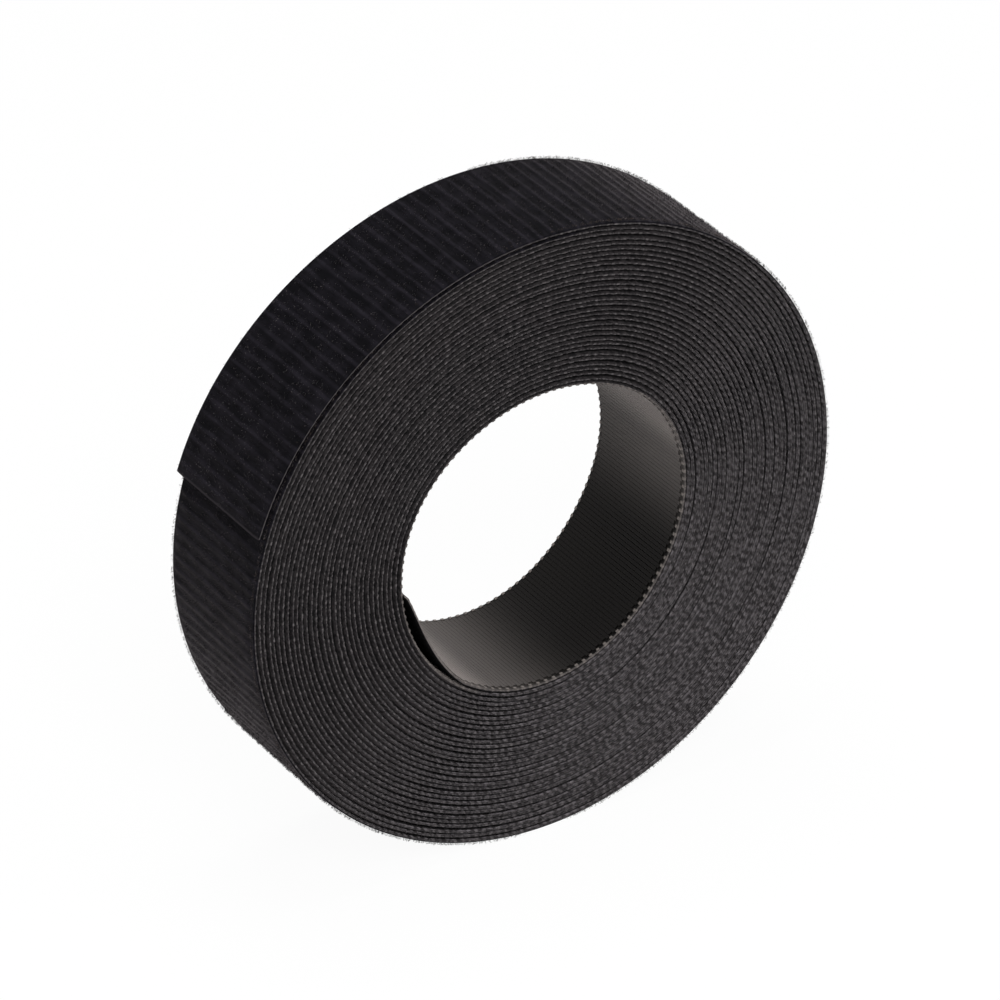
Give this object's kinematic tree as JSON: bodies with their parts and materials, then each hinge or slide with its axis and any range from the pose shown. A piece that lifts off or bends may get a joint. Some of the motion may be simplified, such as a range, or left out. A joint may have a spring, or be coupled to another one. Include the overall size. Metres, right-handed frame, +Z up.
{
  "type": "hook and loop tape roll",
  "caption": "Coreless roll of back-to-back hook and loop tape in a flat spiral, with a free end that peels off the outside and one that bends into the bore.",
  "frame": {"origin": "centre of the part's box, on the level underside of the outermost turn", "axes": "+Z up, +Y along the roll's axis away from its front face, +X to the right when the front face is looked at"},
  "size_m": [0.0876, 0.02, 0.088],
  "materials": {
    "hook_web": "satin moulded plastic with fine rows of hooks across the tape, dark grey-brown",
    "loop_web": "brushed loop pile with low cross ribs, near-black"
  },
  "bodies": {
    "coil": {"hook_web_coil": "hook_web", "loop_web_coil": "loop_web"},
    "inner_end_1": {"hook_web_inner_end_1": "hook_web", "loop_web_inner_end_1": "loop_web"},
    "inner_end_2": {"hook_web_inner_end_2": "hook_web", "loop_web_inner_end_2": "loop_web"},
    "outer_end_1": {"hook_web_outer_end_1": "hook_web", "loop_web_outer_end_1": "loop_web"},
    "outer_end_2": {"hook_web_outer_end_2": "hook_web", "loop_web_outer_end_2": "loop_web"},
    "outer_end_3": {"hook_web_outer_end_3": "hook_web", "loop_web_outer_end_3": "loop_web"},
    "outer_end_4": {"hook_web_outer_end_4": "hook_web", "loop_web_outer_end_4": "loop_web"}
  },
  "joints": [
    {"name": "inner_end_bend", "type": "hinge", "parent": "coil", "child": "inner_end_1", "pos_m": [-0.01323, 0, 0.02677], "axis": [0, 1, 0], "range_deg": [0, 35]},
    {"name": "inner_end_tip_bend", "type": "hinge", "parent": "inner_end_1", "child": "inner_end_2", "pos_m": [-0.01769, 0, 0.03415], "axis": [0, 1, 0], "range_deg": [0, 35]},
    {"name": "outer_end_peel", "type": "hinge", "parent": "coil", "child": "outer_end_1", "pos_m": [-0.00608, 0, 0.088], "axis": [0, 1, 0], "range_deg": [0, 40]},
    {"name": "outer_end_bend_2", "type": "hinge", "parent": "outer_end_1", "child": "outer_end_2", "pos_m": [-0.01738, 0, 0.08504], "axis": [0, 1, 0], "range_deg": [0, 40]},
    {"name": "outer_end_bend_3", "type": "hinge", "parent": "outer_end_2", "child": "outer_end_3", "pos_m": [-0.02757, 0, 0.07928], "axis": [0, 1, 0], "range_deg": [0, 40]},
    {"name": "outer_end_bend_4", "type": "hinge", "parent": "outer_end_3", "child": "outer_end_4", "pos_m": [-0.03598, 0, 0.07109], "axis": [0, 1, 0], "range_deg": [0, 40]}
  ],
  "couplings": [
    {"joint": "inner_end_tip_bend", "follows": "inner_end_bend", "ratio": 1},
    {"joint": "outer_end_bend_2", "follows": "outer_end_peel", "ratio": 1},
    {"joint": "outer_end_bend_3", "follows": "outer_end_peel", "ratio": 1},
    {"joint": "outer_end_bend_4", "follows": "outer_end_peel", "ratio": 1}
  ]
}
